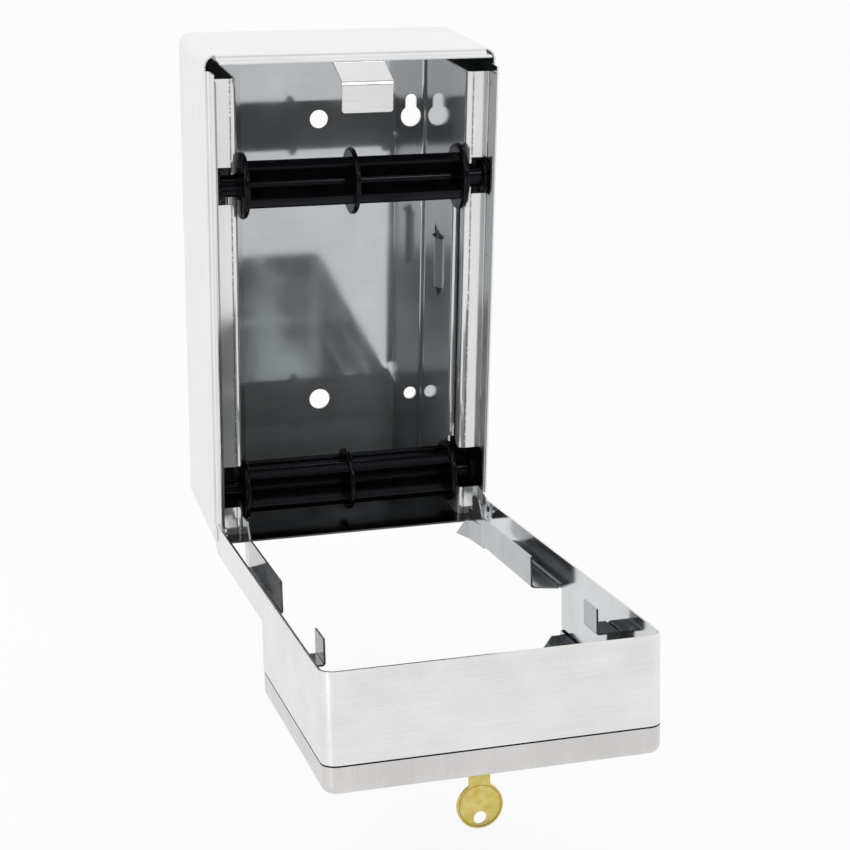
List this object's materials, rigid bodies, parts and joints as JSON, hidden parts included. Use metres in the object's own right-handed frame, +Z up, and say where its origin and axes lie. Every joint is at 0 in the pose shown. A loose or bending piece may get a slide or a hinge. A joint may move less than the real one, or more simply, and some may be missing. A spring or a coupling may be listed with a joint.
{
  "type": "two-roll toilet tissue dispenser",
  "caption": "Surface-mounted stainless steel dispenser for two stacked tissue rolls, with a locking cover swung down, black roll spindles and a key in the lock.",
  "frame": {"origin": "middle of the flat wall face of the back plate, halfway up the cabinet", "axes": "+X to the right seen from the front, +Y into the wall, +Z up; the front faces -Y"},
  "size_m": [0.1618, 0.357, 0.3178],
  "materials": {
    "satin_steel": "satin brushed stainless steel",
    "bright_steel": "bright mill stainless steel",
    "chrome_plate": "bright plated",
    "yellow_brass": "worn yellow brass",
    "black_plastic": "gloss black moulding"
  },
  "bodies": {
    "cabinet": {"cabinet_shell": "satin_steel", "back_plate": "bright_steel", "floor_plate": "bright_steel", "left_rail": "bright_steel", "right_rail": "bright_steel", "latch_keeper": "bright_steel", "left_hinge_rivet": "satin_steel", "right_hinge_rivet": "satin_steel", "left_hinge_washer": "satin_steel", "right_hinge_washer": "satin_steel"},
    "cover": {"door_band": "satin_steel", "front_pan": "satin_steel", "left_lower_guard": "bright_steel", "right_lower_guard": "bright_steel", "left_upper_guard": "bright_steel", "right_upper_guard": "bright_steel", "lock_barrel": "chrome_plate", "lock_nut": "chrome_plate"},
    "lock_plug_body": {"lock_plug": "yellow_brass", "wafer_tumblers": "yellow_brass", "lock_cam": "chrome_plate", "cam_screw": "chrome_plate"},
    "key_body": {"key": "yellow_brass"},
    "upper_spindle_body": {"upper_spindle": "black_plastic"},
    "lower_spindle_body": {"lower_spindle": "black_plastic"}
  },
  "joints": [
    {"name": "cover_hinge", "type": "hinge", "parent": "cabinet", "child": "cover", "pos_m": [0, -0.09, -0.128], "axis": [-1, 0, 0], "range_deg": [0, 82]},
    {"name": "lock_turn", "type": "hinge", "parent": "cover", "child": "lock_plug_body", "pos_m": [0, -0.32811, -0.14806], "axis": [0, -0.1392, -0.9903], "range_deg": [0, 90]},
    {"name": "key_withdraw", "type": "slide", "parent": "lock_plug_body", "child": "key_body", "axis": [0, -0.1392, -0.9903], "range_m": [0, 0.027]},
    {"name": "upper_spindle_spin", "type": "hinge", "parent": "cabinet", "child": "upper_spindle_body", "pos_m": [0, -0.0795, 0.0658], "axis": [1, 0, 0], "continuous": true},
    {"name": "lower_spindle_lift", "type": "slide", "parent": "cabinet", "child": "lower_spindle_body", "axis": [0, 0, 1], "range_m": [0, 0.135]}
  ]
}
